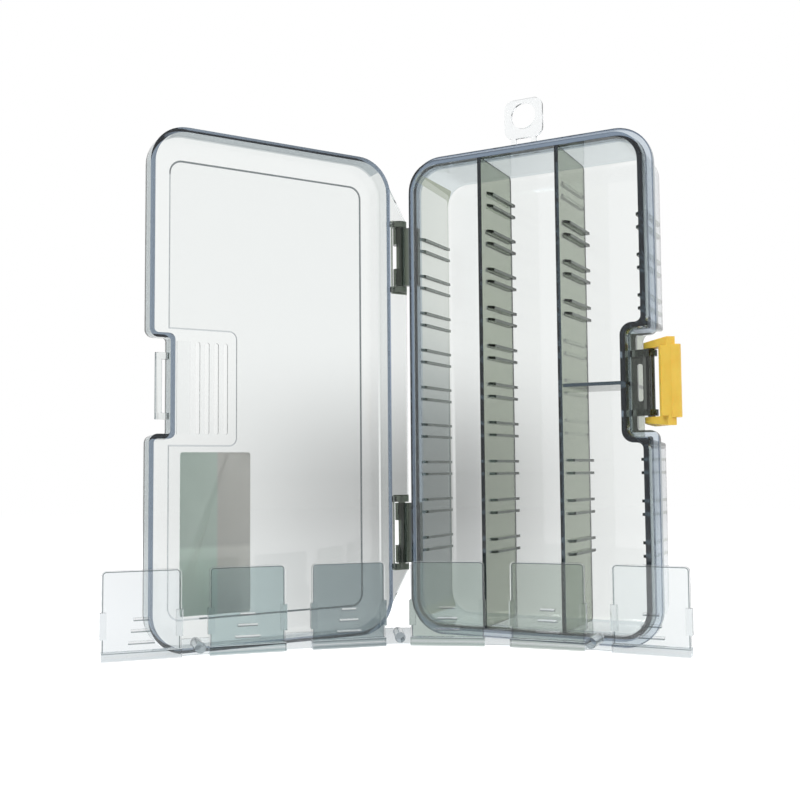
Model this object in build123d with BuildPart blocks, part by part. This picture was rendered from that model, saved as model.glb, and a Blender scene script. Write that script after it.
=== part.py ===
"""Worm box: a clear tackle case that stands open on one end, with a strip of dividers in front."""
from build123d import *
from math import cos, radians, sin
import os

os.makedirs("parts", exist_ok=True)

# Case outline, seen square on to the open tray: u runs from the hinge axis to the latch edge.
case_height = 161.0
outline_left = 3.6
outline_right = 88.6
corner_radius = 12.0
outline_width = outline_right - outline_left
outline_middle = (outline_left + outline_right) / 2

# Recess in the free edge that holds the latch.
recess_depth = 6.6
recess_height = 29.2
recess_mouth_radius = 2.8
recess_inner_radius = 0.8
recess_radius_growth = 0.8
middle_height = case_height / 2

# Depths, w, measured from the plane where lid and tray meet, positive into the tray.
half_parting_gap = 0.15
bury = 0.4
tray_depth = 23.5
flange_thickness = 1.9
flange_overhang = 1.8
wall = 1.3
lip_height = 4.0
lip_thickness = 2.0
lip_taper = 6.0
body_overhang = 2.3
body_taper = 3.0
body_mouth_radius = 1.8
tray_back_radius = 2.8
cavity_taper = 1.2
tray_floor_radius = 1.6
cavity_mouth_radius = 1.9
floor_inside = tray_depth - wall

# Lid, in its closed place: its depths are negative w.
lid_depth = 7.5
lid_wall = 1.5
lid_plate = 1.3
lid_panel_raise = 0.4
lid_taper = 3.0
lid_edge_bevel = 1.1
lid_shoulder = lid_depth - lid_panel_raise
lid_inside = lid_shoulder - lid_plate

# The row frame: its origin is the middle of the flange's lower end face.
hinge_x = -outline_middle
hinge_y = -(half_parting_gap + flange_thickness / 2)
lid_open_angle = 120.0
latch_open_angle = 35.0

# Partitions and the ribs that hold the dividers.
partition_thickness = 1.35
partition_middles = (32.1, 58.85)
cross_wall_thickness = 1.1
cross_wall_front = -3.2
rib_pitch = 12.75
rib_pair_gap = 4.1
rib_thickness = 0.9
rib_height = 1.4
rib_start = 0.4
rib_lead_in = 2.4
rib_root = 0.9
latch_wall_rib_height = 2.6
middle_rows = range(-4, 6)
side_rows = range(-4, 5)
latch_side_rows = (-4, -3, -2, 2, 3, 4)

# Hinge: two sleeves on the tray turn on bars moulded between ears on the lid.
hinge_bar_radius = 1.2
hinge_bore_radius = 1.27
sleeve_radius = 2.3
ear_radius = 2.45
ear_thickness = 2.0
knuckle_length = 20.7
knuckle_middles = (33.25, 127.75)
sleeve_end_gap = 0.3
sleeve_web_overlap = 1.4
sleeve_slit_middle = (-1.5, 1.5)
sleeve_slit = (1.8, 3.0)
sleeve_cradle_cut = 0.7
hinge_bar_seat = 0.5
sleeve_window = 8.4
strap_thickness = 1.2
strap_reach = -2.9
strap_root = outline_left + 1.2
strap_notch = (-4.75, 2.75)
ear_root = (outline_left - 0.4, 1.6)
strap_ends = (8.0, 153.0)
strap_tips = (20.9, 140.1)

# Latch: it turns on stubs at the ends of the tray's bracket.
pivot_u = 85.6
pivot_w = 3.5
stub_radius = 1.15
stub_bore_radius = 1.22
stub_length = 1.5
rod_radius = 1.25
bracket_height = 20.4
bracket_arm = 2.0
bracket_boss_radius = 2.1
bracket_root_depths = (1.2, 8.4)
bracket_web = 1.2
bracket_rim = (1.2, 1.7)
bracket_slot = (1.7, 11.5)
bracket_slot_u = 83.2
bracket_edge = pivot_u + 0.4
bracket_inset = 0.9

# Latch, in its own x, outwards from the pivot, and y, towards the tray's back.
latch_height = 26.7
latch_plate_inside = 1.6
latch_plate_outside = 3.0
latch_plate_start = -2.6
latch_tip = -9.5
latch_tip_outside = 4.2
latch_hook_inside = -8.0
latch_hook_reach = -0.4
latch_cheek = 2.8
latch_cheek_slope = 1.2
latch_slope_end = -3.0
latch_slope_width = 24.0
latch_boss_radius = 2.1
latch_roll_radius = 1.85
latch_roll_length = 22.0
latch_roll_middle = (4.4, -8.6)

# Catch bar on the lid, in closed u and w.
catch_height = 20.4
catch_block = 2.0
catch_bar_radius = 1.1
catch_bar_middle = (84.9, -2.9)
catch_lug_front = -1.7
catch_lug_back = -4.1
catch_root = outline_right - recess_depth - 1.0

# Hang tab above the tray's upper end.
tab_width = 13.2
tab_height = 13.0
tab_gap = 2.0
tab_thickness = 0.9
tab_hole_radius = 4.25
tab_hole_height = 7.4
tab_bridge_width = 1.6
tab_bridge_spacing = 7.0
tab_radius = 3.0
tab_overlap = 0.5

# Sticker on the lid's outer panel.
label_width = 23.5
label_height = 50.5
label_thickness = 0.15
label_middle = (64.6, 35.2)
label_radius = 0.8

# Raised panel on the lid's outer face, notched round the finger grip, in u and height.
panel_left = 12.0
panel_right = 80.2
panel_bottom = 9.0
panel_top = 152.0
panel_radius = 4.0
panel_seat = 0.2
grip_left = 57.7
grip_bottom = 62.5
grip_top = 99.0
grip_radius = 2.5
grip_right = panel_right + 5
groove_us = (61.65, 64.75, 67.85, 70.95)
groove_width = 1.5
groove_length = 29.0
groove_depth = 0.5
grip_bar_u = 75.45
grip_bar_width = 4.3

# Dividers: six equal plates, joined by short runners.
divider_width = 23.0
divider_height = 26.0
divider_thickness = 1.1
divider_corner = 1.5
foot_height = 2.6
foot_thickness = 3.8
rail_width = 1.9
rail_overhang = 0.4
rail_thickness = 2.2
rail_bottom = 6.2
rail_top = 14.0
bar_heights = (11.8, 8.5, 5.1)
bar_lengths = (4.6, 6.0, 7.6)
bar_thickness = 0.55
bar_proud = 0.45
runner_gap = 8.2
runner_bottom = 0.4
runner_top = 5.2
runner_thickness = 1.1
peg_radius = 1.6
peg_length = 11.0
peg_height = 4.0
peg_runners = (1, 3, 5)
divider_turns = (48.2, 45.7, 43.2, 20.7, 7.0, 2.2)
strip_middle = (-34.1, -26.8)


def tray_face(w):
    """Plane across the tray at depth w, facing into it; local axes are u and down from mid height."""
    return Plane(origin=(hinge_x, hinge_y + w, middle_height), x_dir=(1, 0, 0), z_dir=(0, 1, 0))


def tray_section(height):
    """Level plane with local axes u and w, for the tray."""
    return Plane(origin=(hinge_x, hinge_y, height), x_dir=(1, 0, 0), z_dir=(0, 0, 1))


def lid_direction():
    """Direction of u on the open lid, away from the hinge."""
    angle = radians(-lid_open_angle)
    return (cos(angle), sin(angle), 0)


def lid_face(depth):
    """Plane across the open lid at a depth behind its rim; local axes are u and up from mid height."""
    outward = (lid_direction()[1], -lid_direction()[0], 0)
    origin = (hinge_x + outward[0] * depth, hinge_y + outward[1] * depth, middle_height)
    return Plane(origin=origin, x_dir=lid_direction(), z_dir=outward)


def lid_section(height):
    """Level plane with local axes u and w of the closed lid, turned with the open lid."""
    return Plane(origin=(hinge_x, hinge_y, height), x_dir=lid_direction(), z_dir=(0, 0, 1))


def latch_section(height):
    """Level plane at the latch pivot, turned with the open latch."""
    angle = radians(latch_open_angle)
    origin = (hinge_x + pivot_u, hinge_y + pivot_w, height)
    return Plane(origin=origin, x_dir=(cos(angle), sin(angle), 0), z_dir=(0, 0, 1))


def latch_upright():
    """Upright plane through the latch pivot; local axes are the latch's x and height from its middle."""
    level = latch_section(middle_height)
    return Plane(origin=level.origin, x_dir=level.x_dir, z_dir=-level.y_dir)


def outline(inset, least_radius=0.8):
    """Case outline with the latch recess, drawn inwards by inset, about mid height."""
    right = outline_right - inset
    step = right - recess_depth
    half_recess = recess_height / 2 + inset
    with BuildSketch() as shape:
        with Locations((outline_middle, 0)):
            RectangleRounded(outline_width - 2 * inset, case_height - 2 * inset, corner_radius - inset)
        with Locations((right, 0)):
            Rectangle(2 * recess_depth, 2 * half_recess, mode=Mode.SUBTRACT)
        for u, radius in (
            (right, max(recess_mouth_radius - inset, least_radius)),
            (step, recess_inner_radius + recess_radius_growth * inset),
        ):
            corners = shape.vertices()
            upper = corners.sort_by_distance((u, half_recess))[:1]
            lower = corners.sort_by_distance((u, -half_recess))[:1]
            fillet(upper + lower, radius)
    return shape.sketch


def rib_places(rows):
    """Heights of both blades of each rib pair."""
    heights = [middle_height + rib_pitch * row for row in rows]
    return [height + side * rib_pair_gap / 2 for height in heights for side in (-1, 1)]


tray_inset = flange_overhang + lip_thickness
cavity_depth = floor_inside + lip_height
arm_root = outline_right - recess_depth - flange_overhang - bracket_inset
bracket_low = middle_height - bracket_height / 2
bracket_high = middle_height + bracket_height / 2


def partition_side(index, side):
    """Place of a partition's face; side is -1 towards the hinge and 1 towards the latch."""
    return partition_middles[index] + side * partition_thickness / 2


def make_rib(reach):
    """One blade that stands out by reach from a wall, towards the latch."""
    with BuildPart() as rib:
        with BuildSketch(tray_section(-rib_thickness / 2)):
            with BuildLine():
                Polyline(
                    (-rib_root, rib_start),
                    (0, rib_start),
                    (reach, rib_start + rib_lead_in),
                    (reach, floor_inside + bury),
                    (-rib_root, floor_inside + bury),
                    close=True,
                )
            make_face()
        extrude(amount=rib_thickness)
    return rib.part


rib = make_rib(rib_height)
hinge_plane = Plane(origin=(hinge_x, 0, 0), z_dir=(1, 0, 0))
rib_turned = mirror(rib, about=hinge_plane)
latch_wall_rib = mirror(make_rib(latch_wall_rib_height), about=hinge_plane)

# Rib, wall place and rows of every column of rib pairs.
rib_columns = (
    (rib, outline_left + tray_inset, side_rows),
    (rib_turned, partition_side(0, -1), side_rows),
    (rib, partition_side(0, 1), middle_rows),
    (rib_turned, partition_side(1, -1), middle_rows),
    (rib, partition_side(1, 1), latch_side_rows),
    (latch_wall_rib, outline_right - tray_inset, latch_side_rows),
)

# The space inside the tray: what it leaves standing are the partitions, the cross wall and the ribs.
with BuildPart() as lanes:
    with BuildSketch(tray_face(-lip_height)):
        add(outline(tray_inset, cavity_mouth_radius))
    extrude(amount=cavity_depth, taper=cavity_taper)
    fillet(lanes.faces().sort_by(Axis.Y)[-1].edges(), tray_floor_radius)
    with BuildSketch(tray_face(-lip_height)):
        with Locations(*[(middle, 0) for middle in partition_middles]):
            Rectangle(partition_thickness, case_height)
    extrude(amount=cavity_depth, mode=Mode.SUBTRACT)
    cross_wall_length = arm_root - partition_middles[1]
    with BuildSketch(tray_face(cross_wall_front)):
        with Locations((partition_middles[1] + cross_wall_length / 2, 0)):
            Rectangle(cross_wall_length, cross_wall_thickness)
    extrude(amount=floor_inside - cross_wall_front, mode=Mode.SUBTRACT)
    for rib_shape, u, rows in rib_columns:
        with Locations(*[(u, 0, height) for height in rib_places(rows)]):
            add(rib_shape, mode=Mode.SUBTRACT)


def sleeve_section(kind):
    """Section of a hinge sleeve: a ring with a snap slit, or only the cradle beside its window."""
    with BuildSketch() as section:
        Circle(sleeve_radius)
        web_reach = sleeve_radius + sleeve_web_overlap
        with Locations((web_reach / 2, half_parting_gap + flange_thickness / 2)):
            Rectangle(web_reach, flange_thickness)
        Circle(hinge_bore_radius, mode=Mode.SUBTRACT)
        if kind == "ring":
            with Locations(Location(sleeve_slit_middle, 45)):
                Rectangle(*sleeve_slit, mode=Mode.SUBTRACT)
        else:
            with Locations((sleeve_cradle_cut - sleeve_radius, 0)):
                Rectangle(2 * sleeve_radius, 3 * sleeve_radius, mode=Mode.SUBTRACT)
    return section.sketch


with BuildPart() as tray:
    # Wall and floor, the lip above the ledge, then the flange.
    with BuildSketch(tray_face(half_parting_gap)):
        add(outline(body_overhang, body_mouth_radius))
    extrude(amount=tray_depth - half_parting_gap, taper=body_taper)
    fillet(tray.faces().sort_by(Axis.Y)[-1].edges(), tray_back_radius)
    with BuildSketch(tray_face(half_parting_gap)):
        add(outline(flange_overhang))
    extrude(amount=-(half_parting_gap + lip_height), taper=lip_taper)
    with BuildSketch(tray_face(half_parting_gap)):
        add(outline(0))
    extrude(amount=flange_thickness)
    add(lanes.part, mode=Mode.SUBTRACT)
    # Bracket that carries the latch: two arms, the slotted web, its rim, the rod and the stubs.
    bracket_reach = bracket_edge - arm_root
    bracket_middle = (arm_root + bracket_edge) / 2
    web_height = bracket_height - bracket_arm
    root_middle = (arm_root + bury, sum(bracket_root_depths) / 2)
    root_depth = bracket_root_depths[1] - bracket_root_depths[0]
    for height in (bracket_low, bracket_high - bracket_arm):
        with BuildSketch(tray_section(height)):
            with Locations((pivot_u, pivot_w)):
                Circle(bracket_boss_radius)
            with Locations((bracket_middle, half_parting_gap + bury / 2)):
                Rectangle(bracket_reach, bury)
            with Locations(root_middle):
                Rectangle(2 * bury, root_depth)
            make_hull()
        extrude(amount=bracket_arm)
    with BuildSketch(tray_face(half_parting_gap)):
        with Locations((bracket_middle, 0)):
            Rectangle(bracket_reach, web_height)
        with Locations((bracket_slot_u, 0)):
            SlotOverall(bracket_slot[1], bracket_slot[0], rotation=90, mode=Mode.SUBTRACT)
    extrude(amount=bracket_web)
    with BuildSketch(tray_face(half_parting_gap)):
        with Locations((bracket_edge - bracket_rim[0] / 2, 0)):
            Rectangle(bracket_rim[0], web_height)
    extrude(amount=bracket_rim[1])
    with BuildSketch(tray_section(bracket_low)):
        with Locations((pivot_u, pivot_w)):
            Circle(rod_radius)
    extrude(amount=bracket_height)
    with BuildSketch(tray_section(bracket_low - stub_length)):
        with Locations((pivot_u, pivot_w)):
            Circle(stub_radius)
    extrude(amount=bracket_height + 2 * stub_length)
    # Hinge sleeves, each with a window at its middle.
    sleeve_length = knuckle_length - 2 * sleeve_end_gap
    ring_length = (sleeve_length - sleeve_window) / 2
    for middle in knuckle_middles:
        for height in (middle - sleeve_length / 2, middle + sleeve_window / 2):
            with BuildSketch(tray_section(height)):
                add(sleeve_section("ring"))
            extrude(amount=ring_length)
        with BuildSketch(tray_section(middle - sleeve_window / 2)):
            add(sleeve_section("cradle"))
        extrude(amount=sleeve_window)

lid_outward = Axis((0, 0, 0), (lid_direction()[1], -lid_direction()[0], 0))

with BuildPart() as lid:
    with BuildSketch(lid_face(half_parting_gap)):
        add(outline(0))
    extrude(amount=lid_shoulder - half_parting_gap, taper=lid_taper)
    chamfer(lid.faces().sort_by(lid_outward)[-1].edges(), lid_edge_bevel)
    # Raised panel, notched round the finger grip, with the grip's bar and grooves.
    panel_middle = ((panel_left + panel_right) / 2, (panel_bottom + panel_top) / 2 - middle_height)
    grip_middle_height = (grip_bottom + grip_top) / 2 - middle_height
    with BuildSketch(lid_face(lid_shoulder - panel_seat)):
        with Locations(panel_middle):
            RectangleRounded(panel_right - panel_left, panel_top - panel_bottom, panel_radius)
        with Locations(((grip_left + grip_right) / 2, grip_middle_height)):
            notch_size = (grip_right - grip_left, grip_top - grip_bottom)
            RectangleRounded(*notch_size, grip_radius, mode=Mode.SUBTRACT)
        with Locations((grip_bar_u, 0)):
            Rectangle(grip_bar_width, groove_length)
    extrude(amount=lid_panel_raise + panel_seat)
    with BuildSketch(lid_face(lid_shoulder)):
        with Locations(*[(u, 0) for u in groove_us]):
            SlotOverall(groove_length, groove_width, rotation=90)
    extrude(amount=-groove_depth, mode=Mode.SUBTRACT)
    with BuildSketch(lid_face(half_parting_gap)):
        add(outline(lid_wall))
    extrude(amount=lid_inside - half_parting_gap, taper=lid_taper, mode=Mode.SUBTRACT)
    # Hinge strap with its notches, the ears and the bars between them.
    with BuildSketch(lid_face(half_parting_gap)):
        with BuildLine():
            Polyline(
                (strap_root, strap_ends[0] - middle_height),
                (strap_reach, strap_tips[0] - middle_height),
                (strap_reach, strap_tips[1] - middle_height),
                (strap_root, strap_ends[1] - middle_height),
                close=True,
            )
        make_face()
        notch_middle = sum(strap_notch) / 2
        with Locations(*[(notch_middle, middle - middle_height) for middle in knuckle_middles]):
            Rectangle(strap_notch[1] - strap_notch[0], knuckle_length, mode=Mode.SUBTRACT)
    extrude(amount=strap_thickness)
    for middle in knuckle_middles:
        for height in (middle - knuckle_length / 2 - ear_thickness, middle + knuckle_length / 2):
            with BuildSketch(lid_section(height)):
                Circle(ear_radius)
                with Locations((ear_root[0], -half_parting_gap - strap_thickness / 2)):
                    Rectangle(ear_root[1], strap_thickness)
                make_hull()
            extrude(amount=ear_thickness)
        with BuildSketch(lid_section(middle - knuckle_length / 2 - hinge_bar_seat)):
            Circle(hinge_bar_radius)
        extrude(amount=knuckle_length + 2 * hinge_bar_seat)
    # Catch bar between two lugs.
    catch_low = middle_height - catch_height / 2
    catch_high = middle_height + catch_height / 2
    for height in (catch_low, catch_high - catch_block):
        with BuildSketch(lid_section(height)):
            with Locations(catch_bar_middle):
                Circle(catch_bar_radius)
            with Locations((catch_root + bury, (catch_lug_front + catch_lug_back) / 2)):
                Rectangle(2 * bury, catch_lug_front - catch_lug_back)
            make_hull()
        extrude(amount=catch_block)
    with BuildSketch(lid_section(catch_low)):
        with Locations(catch_bar_middle):
            Circle(catch_bar_radius)
    extrude(amount=catch_height)

latch_low = middle_height - latch_height / 2
latch_high = middle_height + latch_height / 2
latch_plate_length = latch_plate_start - latch_tip
latch_tip_depth = latch_hook_inside - latch_tip

with BuildPart() as latch:
    plate_middle = ((latch_plate_inside + latch_plate_outside) / 2, (latch_tip + latch_plate_start) / 2)
    plate_thickness = latch_plate_outside - latch_plate_inside
    for height in (latch_low, latch_high - latch_cheek):
        with BuildSketch(latch_section(height)):
            Circle(latch_boss_radius)
            with Locations(plate_middle):
                Rectangle(plate_thickness, latch_plate_length)
            make_hull()
        extrude(amount=latch_cheek)
    # The cheeks' outer faces slope in towards the pivot.
    with BuildSketch(latch_upright()):
        for side in (-1, 1):
            with BuildLine():
                Polyline(
                    (latch_plate_inside, side * latch_height / 2),
                    (latch_slope_end, side * latch_height / 2),
                    (latch_slope_end, side * (latch_height / 2 - latch_cheek_slope)),
                    close=True,
                )
            make_face()
    extrude(amount=latch_slope_width / 2, both=True, mode=Mode.SUBTRACT)
    # Plate, the hook inside its tip, the tip's outer edge and the finger roll.
    with BuildSketch(latch_section(latch_low)):
        with Locations(plate_middle):
            Rectangle(plate_thickness, latch_plate_length)
        with Locations(((latch_plate_inside + latch_tip_outside) / 2, latch_tip + latch_tip_depth / 2)):
            Rectangle(latch_tip_outside - latch_plate_inside, latch_tip_depth)
    extrude(amount=latch_height)
    with BuildSketch(latch_section(latch_low + latch_cheek)):
        with Locations(((latch_hook_reach + latch_plate_inside) / 2, latch_tip + latch_tip_depth / 2)):
            Rectangle(latch_plate_inside - latch_hook_reach, latch_tip_depth)
    extrude(amount=latch_height - 2 * latch_cheek)
    with BuildSketch(latch_section(middle_height - latch_roll_length / 2)):
        with Locations(latch_roll_middle):
            Circle(latch_roll_radius)
    extrude(amount=latch_roll_length)
    # Blind sockets for the bracket's stubs.
    for height, depth in ((latch_low + latch_cheek, -stub_length), (latch_high - latch_cheek, stub_length)):
        with BuildSketch(latch_section(height)):
            Circle(stub_bore_radius)
        extrude(amount=depth, mode=Mode.SUBTRACT)

tab_middle = case_height + tab_gap + tab_height / 2 - middle_height

with BuildPart() as hang_tab:
    with BuildSketch(tray_face(half_parting_gap + flange_thickness / 2 - tab_thickness / 2)):
        with Locations((outline_middle, -tab_middle)):
            RectangleRounded(tab_width, tab_height, tab_radius)
        bridge_height = tab_gap + tab_overlap
        bridge_middle = middle_height + bridge_height / 2
        with Locations((outline_middle, -bridge_middle)):
            with GridLocations(tab_bridge_spacing, 0, 2, 1):
                Rectangle(tab_bridge_width, bridge_height)
        with Locations((outline_middle, -(case_height + tab_gap + tab_hole_height - middle_height))):
            Circle(tab_hole_radius, mode=Mode.SUBTRACT)
    extrude(amount=tab_thickness)

with BuildPart() as label:
    with BuildSketch(lid_face(lid_depth)):
        with Locations((label_middle[0], label_middle[1] - middle_height)):
            RectangleRounded(label_width, label_height, label_radius)
    extrude(amount=label_thickness)

with BuildPart() as divider:
    with BuildSketch(Plane.XZ.offset(-divider_thickness / 2)) as plate:
        with Locations((0, divider_height / 2)):
            Rectangle(divider_width, divider_height)
        fillet(plate.vertices().group_by(Axis.Y)[-1], divider_corner)
    extrude(amount=divider_thickness)
    with BuildSketch(Plane.XY):
        Rectangle(divider_width, foot_thickness)
    extrude(amount=foot_height)
    with BuildSketch(Plane.XY.offset(rail_bottom)):
        with GridLocations(divider_width + 2 * rail_overhang - rail_width, 0, 2, 1):
            Rectangle(rail_width, rail_thickness)
    extrude(amount=rail_top - rail_bottom)
    for height, length in zip(bar_heights, bar_lengths):
        with BuildSketch(Plane.XY.offset(height - bar_thickness / 2)):
            Rectangle(length, divider_thickness + 2 * bar_proud)
        extrude(amount=bar_thickness)


def step_from(point, turn, length):
    """Point at a length from another one, in the direction of a turn from the X axis."""
    return (point[0] + length * cos(radians(turn)), point[1] + length * sin(radians(turn)))


def strip_route():
    """Ends of every divider and turn of every runner, worked outwards from the middle runner."""
    runner_turns = [(first + second) / 2 for first, second in zip(divider_turns, divider_turns[1:])]
    point = step_from(strip_middle, runner_turns[2], -runner_gap / 2)
    for index in (2, 1, 0):
        point = step_from(point, divider_turns[index], -divider_width)
        if index > 0:
            point = step_from(point, runner_turns[index - 1], -runner_gap)
    ends = []
    for index, turn in enumerate(divider_turns):
        far = step_from(point, turn, divider_width)
        ends.append((point, far))
        if index < len(runner_turns):
            point = step_from(far, runner_turns[index], runner_gap)
    return ends, runner_turns


def make_runner(start, start_turn, end, turn, with_peg):
    """Strip between two dividers, curved to meet both squarely, with or without the round peg."""
    with BuildPart() as runner:
        with BuildSketch(Plane.XY.offset(runner_bottom)):
            with BuildLine() as path:
                TangentArc(start, end, tangent=step_from((0, 0), start_turn, 1.0))
            trace(path.line, line_width=runner_thickness)
        extrude(amount=runner_top - runner_bottom)
        if with_peg:
            middle = step_from(start, turn, runner_gap / 2)
            direction = step_from((0, 0), turn - 90, 1.0)
            with BuildSketch(Plane(origin=(middle[0], middle[1], peg_height), z_dir=(*direction, 0))):
                Circle(peg_radius)
            extrude(amount=peg_length)
    return runner.part


tray.part.label = "tray"
export_step(tray.part, "parts/tray.step")

lid.part.label = "lid"
export_step(lid.part, "parts/lid.step")

latch.part.label = "latch"
export_step(latch.part, "parts/latch.step")

hang_tab.part.label = "hang_tab"
export_step(hang_tab.part, "parts/hang_tab.step")

label.part.label = "label"
export_step(label.part, "parts/label.step")

strip_ends, strip_runner_turns = strip_route()

for index, (near, far) in enumerate(strip_ends):
    middle = ((near[0] + far[0]) / 2, (near[1] + far[1]) / 2, 0)
    piece = divider.part.moved(Location(middle, (0, 0, divider_turns[index])))
    piece.label = f"divider_{index + 1}"
    export_step(piece, f"parts/{piece.label}.step")

for index, turn in enumerate(strip_runner_turns):
    start = strip_ends[index][1]
    end = strip_ends[index + 1][0]
    piece = make_runner(start, divider_turns[index], end, turn, index + 1 in peg_runners)
    piece.label = f"runner_{index + 1}"
    export_step(piece, f"parts/{piece.label}.step")
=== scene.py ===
"""Worm box: studio scene with the case standing open and the divider strip in front of it."""

import math

import bpy
from mathutils import Matrix, Vector

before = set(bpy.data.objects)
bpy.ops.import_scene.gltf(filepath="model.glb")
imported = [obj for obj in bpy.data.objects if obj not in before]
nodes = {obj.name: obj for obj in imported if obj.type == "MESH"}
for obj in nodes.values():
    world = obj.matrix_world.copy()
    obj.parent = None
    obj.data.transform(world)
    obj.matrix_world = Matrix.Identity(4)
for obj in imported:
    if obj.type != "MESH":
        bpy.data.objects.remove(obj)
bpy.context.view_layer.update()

# Camera, as it stood for the photograph.
CAMERA_PLACE = (0.1252, -0.3217, 0.0544)
CAMERA_LENS = 47.77
CAMERA_YAW = 28.165
CAMERA_PITCH = 3.772
CAMERA_ROLL = -0.479

# The thick parts of the plastic darken by depth: colour kept per metre, and density.
SMOKE_ABSORPTION = (0.32, 0.40, 0.40)
SMOKE_DENSITY = 110.0
DIVIDER_ABSORPTION = (0.30, 0.38, 0.42)
DIVIDER_DENSITY = 120.0
PLASTIC_IOR = 1.45

# Painted shade: the plastic is one smoke colour, and these tints make each face darker or lighter by where it is and
# which way it faces, standing in for how light passes through it; only the panel tint is the plastic's own clear
# colour, and the white one is a painted highlight.
PANEL_TINT = (0.99, 1.0, 0.99)
WALL_SHADE = (0.40, 0.44, 0.43)
LATCH_WALL_SHADE = (0.82, 0.82, 0.85)
END_SHADE = (0.78, 0.83, 0.84)
HINGE_WALL_SHADE = (0.78, 0.81, 0.77)
PARTITION_SHADE = (0.40, 0.44, 0.355)
FLANGE_SHADE = (0.70, 0.76, 0.83)
OUTLINE_SHADE = (0.17, 0.21, 0.28)
LIP_SIDE_SHADE = (0.66, 0.71, 0.65)
BLADE_SHADE = (0.07, 0.085, 0.075)
LIP_SHADE = (0.34, 0.40, 0.45)
RIM_SHADE = (0.15, 0.20, 0.30)
BRACKET_SHADE = (0.10, 0.11, 0.10)
HINGE_SHADE = (0.13, 0.15, 0.12)
LID_WALL_SHADE = (0.50, 0.55, 0.57)
LID_HINGE_WALL_SHADE = (0.86, 0.88, 0.87)
LINE_SHADE = (0.04, 0.05, 0.055)
FAINT_LINE_SHADE = (0.52, 0.56, 0.59)
# Painted shade: the six dividers are one plastic, each tinted lighter or darker on its broad faces.
DIVIDER_SHADES = (
    (0.97, 0.99, 1.0),
    (0.57, 0.67, 0.67),
    (0.41, 0.48, 0.49),
    (0.65, 0.73, 0.68),
    (0.62, 0.67, 0.62),
    (0.98, 1.0, 1.0),
)
DIVIDER_SIDE_SHADE = (0.66, 0.71, 0.73)
DIVIDER_LINE_SHADE = (0.22, 0.26, 0.27)
PAINTED_HIGHLIGHT = (1.0, 1.0, 1.0)

# Places on the tray, in metres: its depths, its height and the zones of its painted shade.
FLANGE_BACK = 0.00096
FLANGE_HALF_DEPTH = 0.0012
FLANGE_EDGE_SHADE = 0.0004
LIP_FRONT = -0.0040
LIP_FOOT = (-0.0018, 0.0008)
LIP_SIDE_DEPTH = -0.0010
LIP_INSET = 0.0028
MIDDLE_HEIGHT = 0.0805
HINGE_ZONE = -0.0427
HINGE_WALL_ZONE = -0.0378
PARTITION_REACH = 0.0378
LATCH_WALL_ZONE = 0.0360
BRACKET_ZONE = 0.0342
BRACKET_REACH = 0.0152
RIB_ROWS = (0.087, 0.0625)
RIB_END_REACH = 0.0004
# Heights over which the hinge wall's painted shade fades: darker below, lighter above.
HINGE_WALL_SHADE_FADE = (0.065, 0.125)

# The tray's outline and its recess: middle, half size and corner radius across and up.
CASE_BOX = ((0.0, 0.0805), (0.0425, 0.0805), 0.012)
RECESS_BOX = ((0.0425, 0.0805), (0.0066, 0.0146), 0.0008)

# Where the ribs' inner ends stand, and the height of the two hinge knuckles.
RIB_ENDS = (-0.0373, -0.01193, 0.01482)
KNUCKLE_HEIGHTS = (0.03325, 0.12775)

# The dividers' turns from the X axis, and the outline of their plate, across and up.
DIVIDER_TURNS = (48.2, 45.7, 43.2, 20.7, 7.0, 2.2)
PLATE_BOX = ((0.0, 0.0130), (0.0115, 0.0130), 0.0015)

# Half thickness of the plate with a margin, and the painted shade line and painted highlight along its edge,
# measured inward.
PLATE_HALF = 0.0008
EDGE_SHADE = 0.00062
EDGE_HIGHLIGHT = 0.00036

# The foot's painted shade line and painted highlight band: height and reach.
FOOT_SHADE_LINE = (0.0024, 0.00016)
FOOT_HIGHLIGHT_BAND = (0.0013, 0.0003)

# Heights and half lengths of the three bars on each divider, and the painted shadow line under each.
BARS = ((0.0118, 0.0023), (0.0085, 0.0030), (0.0051, 0.0038))
BARS_REACH = 0.0042
BARS_MIDDLE = 0.0085
BAR_SHADOW_DROP = 0.00045
BAR_SHADOW_LINE = 0.00017

# The lid's own axes: the hinge line, the way across the lid and out of its back.
HINGE_PLACE = (-0.0461, -0.0011, 0.0)
LID_ACROSS = (-0.5, -0.866, 0.0)
LID_OUT = (-0.866, 0.5, 0.0)

# Zones of the lid's painted shade, across it from the hinge, out from the hinge line and up.
LID_BODY_START = 0.0037
LID_HINGE_END = 0.0030
LID_HINGE_HALF = 0.045
LID_RIM_OUT = 0.0006
LID_STEP_OUT = 0.0068
LID_STEP_REACH = 0.00028
KNUCKLE_REACH = 0.0127

# Where the painted shade line round the panel is crisp: beside the hinge, along the top and along the bottom.
CRISP_NEAR_HINGE = 0.0165
CRISP_TOP = 0.1475
CRISP_BOTTOM = (0.0098, 0.07)

# Raised panel and grip notch on the lid: middle, half size and corner radius across and up.
PANEL_BOX = ((0.0461, 0.0805), (0.0341, 0.0715), 0.004)
GRIP_BOX = ((0.07145, 0.08075), (0.01375, 0.01825), 0.0025)

# A painted shadow: a dim wedge on the floor and backdrop, seen only through the plastic: where it starts and which
# way it runs, its brightness from left to right, and how it fades in along the floor and out up the backdrop.
WEDGE_START = (0.125, -0.322, 0.0)
BACKDROP_AHEAD = (-0.472, 0.882, 0.0)
BACKDROP_ASIDE = (0.882, 0.472, 0.0)
WEDGE_SPREAD = 0.3
WEDGE_FADE = (0.20, 0.50)
WEDGE_RISE = (0.125, -0.02)
WEDGE = ((0.0, 1.0), (0.22, 0.86), (0.36, 0.62), (0.57, 0.36), (0.70, 0.68), (0.82, 0.97), (1.0, 1.0))


def turn(degrees, axis):
    return Matrix.Rotation(math.radians(degrees), 4, axis)


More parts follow.
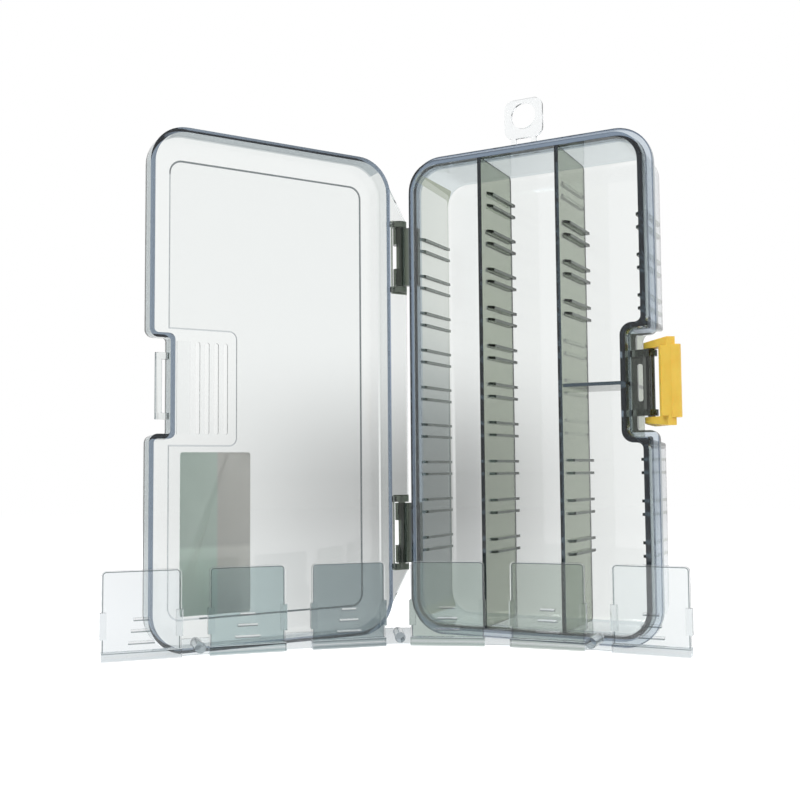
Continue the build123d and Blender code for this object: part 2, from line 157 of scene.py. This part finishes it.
def add_camera():
    camera = bpy.data.objects.new("camera", bpy.data.cameras.new("camera"))
    camera.data.sensor_width = 36.0
    camera.data.lens = CAMERA_LENS
    camera.data.clip_start = 0.01
    place = Matrix.Translation(CAMERA_PLACE)
    camera.matrix_world = place @ turn(CAMERA_YAW, "Z") @ turn(90 + CAMERA_PITCH, "X") @ turn(CAMERA_ROLL, "Z")
    bpy.context.scene.collection.objects.link(camera)
    bpy.context.scene.camera = camera


def new_material(name):
    material = bpy.data.materials.new(name)
    material.use_nodes = True
    tree = material.node_tree
    tree.nodes.clear()
    output = tree.nodes.new("ShaderNodeOutputMaterial")
    return material, tree, output


def principled(tree, colour, roughness, **values):
    shader = tree.nodes.new("ShaderNodeBsdfPrincipled")
    shader.inputs["Base Color"].default_value = (*colour, 1)
    shader.inputs["Roughness"].default_value = roughness
    for name, value in values.items():
        shader.inputs[name.replace("_", " ")].default_value = value
    return shader


def noise(tree, scale):
    coordinates = tree.nodes.new("ShaderNodeTexCoord")
    texture = tree.nodes.new("ShaderNodeTexNoise")
    texture.inputs["Scale"].default_value = scale
    texture.inputs["Detail"].default_value = 3.0
    tree.links.new(coordinates.outputs["Object"], texture.inputs["Vector"])
    return texture.outputs["Fac"]


def spread(tree, value, low, high):
    """Maps a 0 to 1 value to the range low to high."""
    node = tree.nodes.new("ShaderNodeMapRange")
    node.inputs["To Min"].default_value = low
    node.inputs["To Max"].default_value = high
    tree.links.new(value, node.inputs["Value"])
    return node.outputs["Result"]


def smooth_range(tree, value, source, target):
    """Maps the value from the source range to the target range with soft ends."""
    node = tree.nodes.new("ShaderNodeMapRange")
    node.interpolation_type = "SMOOTHSTEP"
    node.inputs["From Min"].default_value, node.inputs["From Max"].default_value = source
    node.inputs["To Min"].default_value, node.inputs["To Max"].default_value = target
    tree.links.new(value, node.inputs["Value"])
    return node.outputs["Result"]


def bump(tree, height, strength, distance):
    node = tree.nodes.new("ShaderNodeBump")
    node.inputs["Strength"].default_value = strength
    node.inputs["Distance"].default_value = distance
    tree.links.new(height, node.inputs["Height"])
    return node.outputs["Normal"]


def moulded_plastic(name, tint, roughness, absorption, density, shadow):
    """Clear moulded plastic, darkened by its depth, that lets lamp light through."""
    material, tree, output = new_material(name)
    shader = principled(tree, tint, roughness, Transmission_Weight=0.97, IOR=PLASTIC_IOR)
    uneven = spread(tree, noise(tree, 260.0), roughness * 0.7, roughness * 1.5)
    tree.links.new(uneven, shader.inputs["Roughness"])
    tree.links.new(bump(tree, noise(tree, 90.0), 0.08, 0.0004), shader.inputs["Normal"])
    open_shader = tree.nodes.new("ShaderNodeBsdfTransparent")
    open_shader.inputs["Color"].default_value = (*shadow, 1)
    path = tree.nodes.new("ShaderNodeLightPath")
    mix = tree.nodes.new("ShaderNodeMixShader")
    tree.links.new(path.outputs["Is Shadow Ray"], mix.inputs[0])
    tree.links.new(shader.outputs[0], mix.inputs[1])
    tree.links.new(open_shader.outputs[0], mix.inputs[2])
    tree.links.new(mix.outputs[0], output.inputs["Surface"])
    volume = tree.nodes.new("ShaderNodeVolumeAbsorption")
    volume.inputs["Color"].default_value = (*absorption, 1)
    volume.inputs["Density"].default_value = density
    tree.links.new(volume.outputs[0], output.inputs["Volume"])
    return material, tree, shader


def compare(tree, value, operation, level):
    node = tree.nodes.new("ShaderNodeMath")
    node.operation = operation
    node.inputs[1].default_value = level
    tree.links.new(value, node.inputs[0])
    return node.outputs[0]


def join(tree, first, second, operation):
    node = tree.nodes.new("ShaderNodeMath")
    node.operation = operation
    tree.links.new(first, node.inputs[0])
    tree.links.new(second, node.inputs[1])
    return node.outputs[0]


def both(tree, first, second):
    return join(tree, first, second, "MULTIPLY")


def near(tree, value, middle, reach):
    """1 where the value is within reach of the middle, otherwise 0."""
    away = compare(tree, compare(tree, value, "SUBTRACT", middle), "ABSOLUTE", 0)
    return compare(tree, away, "LESS_THAN", reach)


def facing(tree, direction):
    """1 on the faces square to the direction, which is in the piece's own space, otherwise 0."""
    coordinates = tree.nodes.new("ShaderNodeTexCoord")
    dot = tree.nodes.new("ShaderNodeVectorMath")
    dot.operation = "DOT_PRODUCT"
    dot.inputs[1].default_value = direction
    tree.links.new(coordinates.outputs["Normal"], dot.inputs[0])
    return compare(tree, compare(tree, dot.outputs["Value"], "ABSOLUTE", 0), "GREATER_THAN", 0.7)


def opposite(tree, mask):
    node = tree.nodes.new("ShaderNodeMath")
    node.operation = "SUBTRACT"
    node.inputs[0].default_value = 1.0
    tree.links.new(mask, node.inputs[1])
    return node.outputs[0]


def along(tree, origin, direction):
    """Distance from the origin in the direction, both in the piece's own space."""
    coordinates = tree.nodes.new("ShaderNodeTexCoord")
    offset = tree.nodes.new("ShaderNodeVectorMath")
    offset.operation = "SUBTRACT"
    offset.inputs[1].default_value = origin
    tree.links.new(coordinates.outputs["Object"], offset.inputs[0])
    dot = tree.nodes.new("ShaderNodeVectorMath")
    dot.operation = "DOT_PRODUCT"
    dot.inputs[1].default_value = direction
    tree.links.new(offset.outputs["Vector"], dot.inputs[0])
    return dot.outputs["Value"]


def box_distance(tree, across, up, box):
    """Distance outside a rounded box in the plane of across and up, negative inside it."""
    middle, half, radius = box
    flat = tree.nodes.new("ShaderNodeCombineXYZ")
    sides = []
    for value, centre, reach, socket in zip((across, up), middle, half, "XY"):
        side = compare(tree, compare(tree, value, "SUBTRACT", centre), "ABSOLUTE", 0)
        side = compare(tree, side, "SUBTRACT", reach - radius)
        sides.append(side)
        tree.links.new(compare(tree, side, "MAXIMUM", 0), flat.inputs[socket])
    length = tree.nodes.new("ShaderNodeVectorMath")
    length.operation = "LENGTH"
    tree.links.new(flat.outputs[0], length.inputs[0])
    deepest = compare(tree, join(tree, sides[0], sides[1], "MAXIMUM"), "MINIMUM", 0)
    return compare(tree, join(tree, length.outputs["Value"], deepest, "ADD"), "SUBTRACT", radius)


def place_of(tree):
    coordinates = tree.nodes.new("ShaderNodeTexCoord")
    axes = tree.nodes.new("ShaderNodeSeparateXYZ")
    tree.links.new(coordinates.outputs["Object"], axes.inputs[0])
    return axes.outputs


def tint_layers(tree, shader, under, layers):
    """Base colour of the shader: each layer's tint goes over the ones before it where its mask is 1."""
    below = None
    for mask, tint in layers:
        mix = tree.nodes.new("ShaderNodeMix")
        mix.data_type = "RGBA"
        if below is None:
            mix.inputs[6].default_value = (*under, 1)
        else:
            tree.links.new(below, mix.inputs[6])
        mix.inputs[7].default_value = (*tint, 1)
        tree.links.new(mask, mix.inputs["Factor"])
        below = mix.outputs[2]
    tree.links.new(below, shader.inputs["Base Color"])


def tray_plastic():
    """Smoke plastic with a clear floor, and painted shade making the partitions and blades grey and the rim, bracket
    and hinge dark.
    """
    material, tree, shader = moulded_plastic(
        "smoke_tray", END_SHADE, 0.04, SMOKE_ABSORPTION, SMOKE_DENSITY, (0.66, 0.70, 0.70)
    )
    place = place_of(tree)
    side = facing(tree, (1, 0, 0))
    panel = facing(tree, (0, 1, 0))
    end = facing(tree, (0, 0, 1))
    inboard = near(tree, place["X"], 0, PARTITION_REACH)
    rib_rows = near(tree, place["Z"], *RIB_ROWS)
    front = compare(tree, place["Y"], "LESS_THAN", LIP_FRONT)
    past_bracket = compare(tree, place["X"], "GREATER_THAN", BRACKET_ZONE)
    bracket = both(tree, past_bracket, near(tree, place["Z"], MIDDLE_HEIGHT, BRACKET_REACH))
    lip = compare(tree, place["Y"], "LESS_THAN", FLANGE_BACK)
    flange = near(tree, place["Y"], 0, FLANGE_HALF_DEPTH)
    hinge = compare(tree, place["X"], "LESS_THAN", HINGE_ZONE)
    latch_wall = compare(tree, place["X"], "GREATER_THAN", LATCH_WALL_ZONE)
    rib_ends = near(tree, place["X"], RIB_ENDS[0], RIB_END_REACH)
    for end_place in RIB_ENDS[1:]:
        rib_ends = join(tree, rib_ends, near(tree, place["X"], end_place, RIB_END_REACH), "MAXIMUM")
    # Painted shade: the hinge wall is lighter above and darker towards the bottom.
    high = smooth_range(tree, place["Z"], HINGE_WALL_SHADE_FADE, (0.0, 1.0))
    hinge_wall = both(tree, side, compare(tree, place["X"], "LESS_THAN", HINGE_WALL_ZONE))
    case_edge = box_distance(tree, place["X"], place["Z"], CASE_BOX)
    recess_edge = compare(tree, box_distance(tree, place["X"], place["Z"], RECESS_BOX), "MULTIPLY", -1)
    edge = join(tree, case_edge, recess_edge, "MAXIMUM")
    in_front = compare(tree, place["Y"], "LESS_THAN", LIP_SIDE_DEPTH)
    lip_side = both(tree, compare(tree, edge, "GREATER_THAN", -LIP_INSET), in_front)
    edge_shade_band = both(tree, lip, compare(tree, edge, "GREATER_THAN", -FLANGE_EDGE_SHADE))
    # Painted shade: walls, partitions, blades, lip, outlines, rim, bracket and hinge are tinted darker than the
    # clear panel, standing in for light through one smoke plastic.
    tint_layers(tree, shader, END_SHADE, [
        (side, WALL_SHADE),
        (latch_wall, LATCH_WALL_SHADE),
        (both(tree, hinge_wall, high), HINGE_WALL_SHADE),
        (lip, LIP_SHADE),
        (both(tree, side, inboard), PARTITION_SHADE),
        (both(tree, both(tree, side, rib_rows), rib_ends), BLADE_SHADE),
        (both(tree, end, rib_rows), BLADE_SHADE),
        (panel, PANEL_TINT),
        (lip_side, LIP_SIDE_SHADE),
        (both(tree, lip_side, near(tree, place["Y"], *LIP_FOOT)), OUTLINE_SHADE),
        (both(tree, panel, flange), FLANGE_SHADE),
        (both(tree, panel, edge_shade_band), OUTLINE_SHADE),
        (both(tree, panel, front), RIM_SHADE),
        (bracket, BRACKET_SHADE),
        (hinge, HINGE_SHADE),
    ])
    return material


def lid_plastic():
    """Smoke plastic with a clear panel, and painted shade as a dark line round its step, a dark rim and a grey
    hinge.
    """
    material, tree, shader = moulded_plastic(
        "smoke_lid", LID_WALL_SHADE, 0.04, SMOKE_ABSORPTION, SMOKE_DENSITY, (0.66, 0.70, 0.70)
    )
    panel = facing(tree, LID_OUT)
    across = along(tree, HINGE_PLACE, LID_ACROSS)
    out = along(tree, HINGE_PLACE, LID_OUT)
    up = place_of(tree)["Z"]
    outside = compare(tree, out, "GREATER_THAN", LID_STEP_OUT)
    panel_edge = box_distance(tree, across, up, PANEL_BOX)
    grip_edge = compare(tree, box_distance(tree, across, up, GRIP_BOX), "MULTIPLY", -1)
    step_edge = join(tree, panel_edge, grip_edge, "MAXIMUM")
    # Painted shade: a dark line round the panel's step and the grip notch, crisp beside the hinge, along the top and
    # along the bottom, faint elsewhere.
    step = both(tree, near(tree, step_edge, 0, LID_STEP_REACH), outside)
    near_hinge = compare(tree, across, "LESS_THAN", CRISP_NEAR_HINGE)
    near_top = compare(tree, up, "GREATER_THAN", CRISP_TOP)
    bottom_height, bottom_end = CRISP_BOTTOM
    low = compare(tree, up, "LESS_THAN", bottom_height)
    near_bottom = both(tree, low, compare(tree, across, "LESS_THAN", bottom_end))
    crisp = join(tree, join(tree, near_hinge, near_top, "MAXIMUM"), near_bottom, "MAXIMUM")
    body = compare(tree, across, "GREATER_THAN", LID_BODY_START)
    rim = both(tree, both(tree, panel, compare(tree, out, "LESS_THAN", LID_RIM_OUT)), body)
    hinge_wall = both(tree, facing(tree, LID_ACROSS), compare(tree, across, "LESS_THAN", LID_HINGE_HALF))
    knuckles = [near(tree, up, height, KNUCKLE_REACH) for height in KNUCKLE_HEIGHTS]
    hinge = both(tree, compare(tree, across, "LESS_THAN", LID_HINGE_END), join(tree, *knuckles, "MAXIMUM"))
    # Painted shade: the lid's walls, the line round its panel's step, the rim and the hinge are tinted darker than
    # the clear panel.
    tint_layers(tree, shader, LID_WALL_SHADE, [
        (hinge_wall, LID_HINGE_WALL_SHADE),
        (panel, PANEL_TINT),
        (step, FAINT_LINE_SHADE),
        (both(tree, step, crisp), LINE_SHADE),
        (rim, RIM_SHADE),
        (hinge, HINGE_SHADE),
    ])
    return material


def divider_plastic(name, piece, turn_angle, tint):
    """Blue-grey plastic, tinted per divider as painted shade, with painted highlights along the plate's edge, on its
    short bars and on the foot, and painted shade lines inside the edge, on the foot and under the bars.
    """
    material, tree, shader = moulded_plastic(
        name, DIVIDER_SIDE_SHADE, 0.05, DIVIDER_ABSORPTION, DIVIDER_DENSITY, (0.72, 0.76, 0.78)
    )
    corners = [Vector(corner) for corner in piece.bound_box]
    middle = sum(corners, Vector()) / 8
    origin = (middle.x, middle.y, 0.0)
    angle = math.radians(turn_angle)
    outward = (-math.sin(angle), math.cos(angle), 0)
    lengthwise = along(tree, origin, (math.cos(angle), math.sin(angle), 0))
    proud = compare(tree, compare(tree, along(tree, origin, outward), "ABSOLUTE", 0), "GREATER_THAN", PLATE_HALF)
    up = place_of(tree)["Z"]
    flat = opposite(tree, proud)
    distance = box_distance(tree, lengthwise, up, PLATE_BOX)
    among_bars = both(tree, near(tree, lengthwise, 0, BARS_REACH), near(tree, up, BARS_MIDDLE, BARS_REACH))
    bars = both(tree, proud, among_bars)
    # Painted highlights along the plate's edge, on the bars and in the foot band, and painted shade just inside the
    # edge and on the foot line.
    layers = [
        (facing(tree, outward), tint),
        (both(tree, compare(tree, distance, "GREATER_THAN", -EDGE_SHADE), flat), DIVIDER_LINE_SHADE),
        (both(tree, compare(tree, distance, "GREATER_THAN", -EDGE_HIGHLIGHT), flat), PAINTED_HIGHLIGHT),
        (bars, PAINTED_HIGHLIGHT),
        (near(tree, up, *FOOT_SHADE_LINE), DIVIDER_LINE_SHADE),
        (near(tree, up, *FOOT_HIGHLIGHT_BAND), PAINTED_HIGHLIGHT),
    ]
    # Painted shadow: a dark line under each bar.
    for height, reach in BARS:
        under = both(tree, near(tree, up, height - BAR_SHADOW_DROP, BAR_SHADOW_LINE), near(tree, lengthwise, 0, reach))
        layers.append((both(tree, under, flat), DIVIDER_LINE_SHADE))
    tint_layers(tree, shader, DIVIDER_SIDE_SHADE, layers)
    return material


def runner_plastic(name):
    material, tree, shader = moulded_plastic(
        name, DIVIDER_SIDE_SHADE, 0.05, DIVIDER_ABSORPTION, DIVIDER_DENSITY, (0.72, 0.76, 0.78)
    )
    # Painted shade: the runners' faces that look up and down are tinted darker than the rest of the same plastic.
    tint_layers(tree, shader, DIVIDER_SHADES[0], [(facing(tree, (0, 0, 1)), DIVIDER_SIDE_SHADE)])
    return material


def latch_plastic():
    material, tree, output = new_material("yellow_latch")
    shader = principled(tree, (0.83, 0.55, 0.07), 0.38, Subsurface_Weight=0.25, Subsurface_Scale=0.002)
    cloud = noise(tree, 160.0)
    ramp = tree.nodes.new("ShaderNodeValToRGB")
    ramp.color_ramp.elements[0].color = (0.68, 0.43, 0.045, 1)
    ramp.color_ramp.elements[1].color = (0.81, 0.58, 0.10, 1)
    tree.links.new(cloud, ramp.inputs["Fac"])
    tree.links.new(ramp.outputs["Color"], shader.inputs["Base Color"])
    tree.links.new(spread(tree, noise(tree, 700.0), 0.30, 0.48), shader.inputs["Roughness"])
    tree.links.new(bump(tree, noise(tree, 2200.0), 0.15, 0.0001), shader.inputs["Normal"])
    tree.links.new(shader.outputs[0], output.inputs["Surface"])
    return material


def label_film():
    """Plain film in soft tones, with nothing printed on it: two tones side by side, and its lower part painted
    lighter, painted light that offsets the dividers' shadow on it.
    """
    material, tree, output = new_material("label_film")
    shader = principled(tree, (0.60, 0.70, 0.63), 0.45)
    coordinates = tree.nodes.new("ShaderNodeTexCoord")
    axes = tree.nodes.new("ShaderNodeSeparateXYZ")
    tree.links.new(coordinates.outputs["Generated"], axes.inputs[0])
    across = tree.nodes.new("ShaderNodeValToRGB")
    across.color_ramp.elements[0].position = 0.50
    across.color_ramp.elements[0].color = (0.86, 0.97, 0.88, 1)
    across.color_ramp.elements[1].position = 0.54
    across.color_ramp.elements[1].color = (0.92, 0.87, 0.82, 1)
    tree.links.new(axes.outputs["Y"], across.inputs["Fac"])
    # Painted light: the film's lower part is lighter than its upper part, offsetting the dividers' shadow on it.
    up = tree.nodes.new("ShaderNodeValToRGB")
    up.color_ramp.elements[0].position = 0.40
    up.color_ramp.elements[0].color = (1, 1, 1, 1)
    up.color_ramp.elements[1].position = 0.43
    up.color_ramp.elements[1].color = (0.80, 0.80, 0.80, 1)
    tree.links.new(axes.outputs["Z"], up.inputs["Fac"])
    shade = tree.nodes.new("ShaderNodeMix")
    shade.data_type = "RGBA"
    shade.blend_type = "MULTIPLY"
    shade.inputs["Factor"].default_value = 1.0
    tree.links.new(across.outputs["Color"], shade.inputs[6])
    tree.links.new(up.outputs["Color"], shade.inputs[7])
    tree.links.new(shade.outputs[2], shader.inputs["Base Color"])
    tree.links.new(spread(tree, noise(tree, 900.0), 0.38, 0.55), shader.inputs["Roughness"])
    tree.links.new(shader.outputs[0], output.inputs["Surface"])
    return material


def wear(names, material):
    for name in names:
        slots = nodes[name].data.materials
        slots.clear()
        slots.append(material)


def distance_ramp(tree, start, end, low, high):
    """Smooth change from low to high with the distance from the object along the floor."""
    coordinates = tree.nodes.new("ShaderNodeTexCoord")
    distance = tree.nodes.new("ShaderNodeVectorMath")
    distance.operation = "LENGTH"
    tree.links.new(coordinates.outputs["Object"], distance.inputs[0])
    return smooth_range(tree, distance.outputs["Value"], (start, end), (low, high))


def dim_wedge(tree, aside, ahead):
    """Brightness of the backdrop from left to right: a painted shadow, a soft wedge behind the hinge, is dimmer."""
    slope = join(tree, aside, compare(tree, ahead, "MAXIMUM", 0.02), "DIVIDE")
    position = tree.nodes.new("ShaderNodeMapRange")
    position.inputs["From Min"].default_value = -WEDGE_SPREAD
    position.inputs["From Max"].default_value = WEDGE_SPREAD
    tree.links.new(slope, position.inputs["Value"])
    ramp = tree.nodes.new("ShaderNodeValToRGB")
    ramp.color_ramp.interpolation = "B_SPLINE"
    levels = ramp.color_ramp.elements
    levels[1].position = 1.0
    for place, level in WEDGE[1:-1]:
        levels.new(place)
    for element, (place, level) in zip(levels, WEDGE):
        element.color = (level, level, level, 1)
    tree.links.new(position.outputs["Result"], ramp.inputs["Fac"])
    return ramp.outputs["Color"]


def glow(tree, strength):
    shader = tree.nodes.new("ShaderNodeEmission")
    tree.links.new(strength, shader.inputs["Strength"])
    return shader.outputs[0]


def mix_shader(tree, factor, first, second):
    node = tree.nodes.new("ShaderNodeMixShader")
    tree.links.new(factor, node.inputs[0])
    tree.links.new(first, node.inputs[1])
    tree.links.new(second, node.inputs[2])
    return node.outputs[0]


def floor_material():
    """White floor with soft shadows; far away it joins the backdrop, and seen through the plastic it carries painted
    shadow, dimmer near the case and in a wedge behind the hinge.
    """
    material, tree, output = new_material("floor")
    path = tree.nodes.new("ShaderNodeLightPath")
    direct = tree.nodes.new("ShaderNodeMath")
    direct.operation = "MAXIMUM"
    tree.links.new(path.outputs["Is Camera Ray"], direct.inputs[0])
    tree.links.new(path.outputs["Is Glossy Ray"], direct.inputs[1])
    lit = tree.nodes.new("ShaderNodeBsdfDiffuse")
    # Painted shadow: seen through the plastic, the floor is darker, most of all near the case.
    tree.links.new(spread(tree, path.outputs["Is Transmission Ray"], 0.6, 0.15), lit.inputs["Color"])
    seen = glow(tree, both(tree, distance_ramp(tree, 0.15, 1.2, 0.62, 1.0), direct.outputs[0]))
    # Painted shadow: a dim wedge on the floor behind the hinge, seen only through the plastic.
    aside = along(tree, WEDGE_START, BACKDROP_ASIDE)
    ahead = along(tree, WEDGE_START, BACKDROP_AHEAD)
    behind = smooth_range(tree, ahead, WEDGE_FADE, (0.0, 1.0))
    dimming = both(tree, behind, opposite(tree, dim_wedge(tree, aside, ahead)))
    through = glow(tree, both(tree, opposite(tree, dimming), distance_ramp(tree, 0.15, 1.2, 0.80, 1.0)))
    shine = mix_shader(tree, path.outputs["Is Transmission Ray"], seen, through)
    near_floor = tree.nodes.new("ShaderNodeAddShader")
    tree.links.new(lit.outputs[0], near_floor.inputs[0])
    tree.links.new(shine, near_floor.inputs[1])
    far = distance_ramp(tree, 0.15, 1.2, 0.0, 1.0)
    tree.links.new(mix_shader(tree, far, near_floor.outputs[0], shine), output.inputs["Surface"])
    return material


def add_floor():
    mesh = bpy.data.meshes.new("floor")
    half = 20.0
    corners = [(-half, -half, 0), (half, -half, 0), (half, half, 0), (-half, half, 0)]
    mesh.from_pydata(corners, [], [(0, 1, 2, 3)])
    floor = bpy.data.objects.new("floor", mesh)
    bpy.context.scene.collection.objects.link(floor)
    mesh.materials.append(floor_material())


def add_world():
    """Plain soft light all round, and a white backdrop wherever it is seen or reflected; looked through the plastic
    it carries a painted shadow, a dim wedge behind the hinge.
    """
    world = bpy.data.worlds.new("studio")
    world.use_nodes = True
    tree = world.node_tree
    tree.nodes.clear()
    output = tree.nodes.new("ShaderNodeOutputWorld")
    dim = tree.nodes.new("ShaderNodeBackground")
    dim.inputs["Color"].default_value = (0.75, 0.77, 0.80, 1)
    dim.inputs["Strength"].default_value = 0.55
    white = tree.nodes.new("ShaderNodeBackground")
    white.inputs["Color"].default_value = (1, 1, 1, 1)
    backdrop = tree.nodes.new("ShaderNodeBackground")
    backdrop.inputs["Color"].default_value = (1, 1, 1, 1)
    coordinates = tree.nodes.new("ShaderNodeTexCoord")
    axes = tree.nodes.new("ShaderNodeSeparateXYZ")
    tree.links.new(coordinates.outputs["Generated"], axes.inputs[0])
    parts = []
    for direction in (BACKDROP_ASIDE, BACKDROP_AHEAD):
        dot = tree.nodes.new("ShaderNodeVectorMath")
        dot.operation = "DOT_PRODUCT"
        dot.inputs[1].default_value = direction
        tree.links.new(coordinates.outputs["Generated"], dot.inputs[0])
        parts.append(dot.outputs["Value"])
    # Painted shadow: the dim wedge goes on up the backdrop, seen only through the plastic.
    depth = smooth_range(tree, axes.outputs["Z"], WEDGE_RISE, (0.0, 1.0))
    behind = both(tree, depth, compare(tree, parts[1], "GREATER_THAN", 0.0))
    dimming = both(tree, behind, opposite(tree, dim_wedge(tree, *parts)))
    tree.links.new(opposite(tree, dimming), backdrop.inputs["Strength"])
    path = tree.nodes.new("ShaderNodeLightPath")
    mirrored = mix_shader(tree, path.outputs["Is Glossy Ray"], dim.outputs[0], white.outputs[0])
    through = mix_shader(tree, path.outputs["Is Transmission Ray"], mirrored, backdrop.outputs[0])
    direct = mix_shader(tree, path.outputs["Is Camera Ray"], through, white.outputs[0])
    tree.links.new(direct, output.inputs["Surface"])
    bpy.context.scene.world = world


def add_softbox(name, place, target, size, power, mirrored=True):
    lamp = bpy.data.lights.new(name, "AREA")
    lamp.shape = "SQUARE"
    lamp.size = size
    lamp.energy = power
    softbox = bpy.data.objects.new(name, lamp)
    softbox.location = place
    softbox.rotation_euler = (Vector(target) - Vector(place)).to_track_quat("-Z", "Y").to_euler()
    softbox.visible_glossy = mirrored
    softbox.visible_transmission = mirrored
    bpy.context.scene.collection.objects.link(softbox)


bpy.context.scene.view_settings.view_transform = "Standard"
add_camera()
add_world()
add_floor()
add_softbox("key", (-0.5, -0.7, 0.9), (0, 0, 0.08), 0.6, 9.0)
add_softbox("top", (0.1, 0.1, 1.1), (0, 0, 0.08), 0.9, 9.0, mirrored=False)
add_softbox("side", (0.9, -0.2, 0.5), (0, 0, 0.08), 0.5, 4.0, mirrored=False)

tab_plastic = moulded_plastic("clear_tab", (0.97, 0.98, 0.98), 0.05, DIVIDER_ABSORPTION, 90.0, (0.95, 0.96, 0.96))[0]
wear(("tray",), tray_plastic())
wear(("lid",), lid_plastic())
for number, (turn_angle, tint) in enumerate(zip(DIVIDER_TURNS, DIVIDER_SHADES), 1):
    name = f"divider_{number}"
    wear((name,), divider_plastic(f"{name}_plastic", nodes[name], turn_angle, tint))
wear([name for name in nodes if name.startswith("runner_")], runner_plastic("runner_plastic"))
wear(("hang_tab",), tab_plastic)
wear(("latch",), latch_plastic())
wear(("label",), label_film())
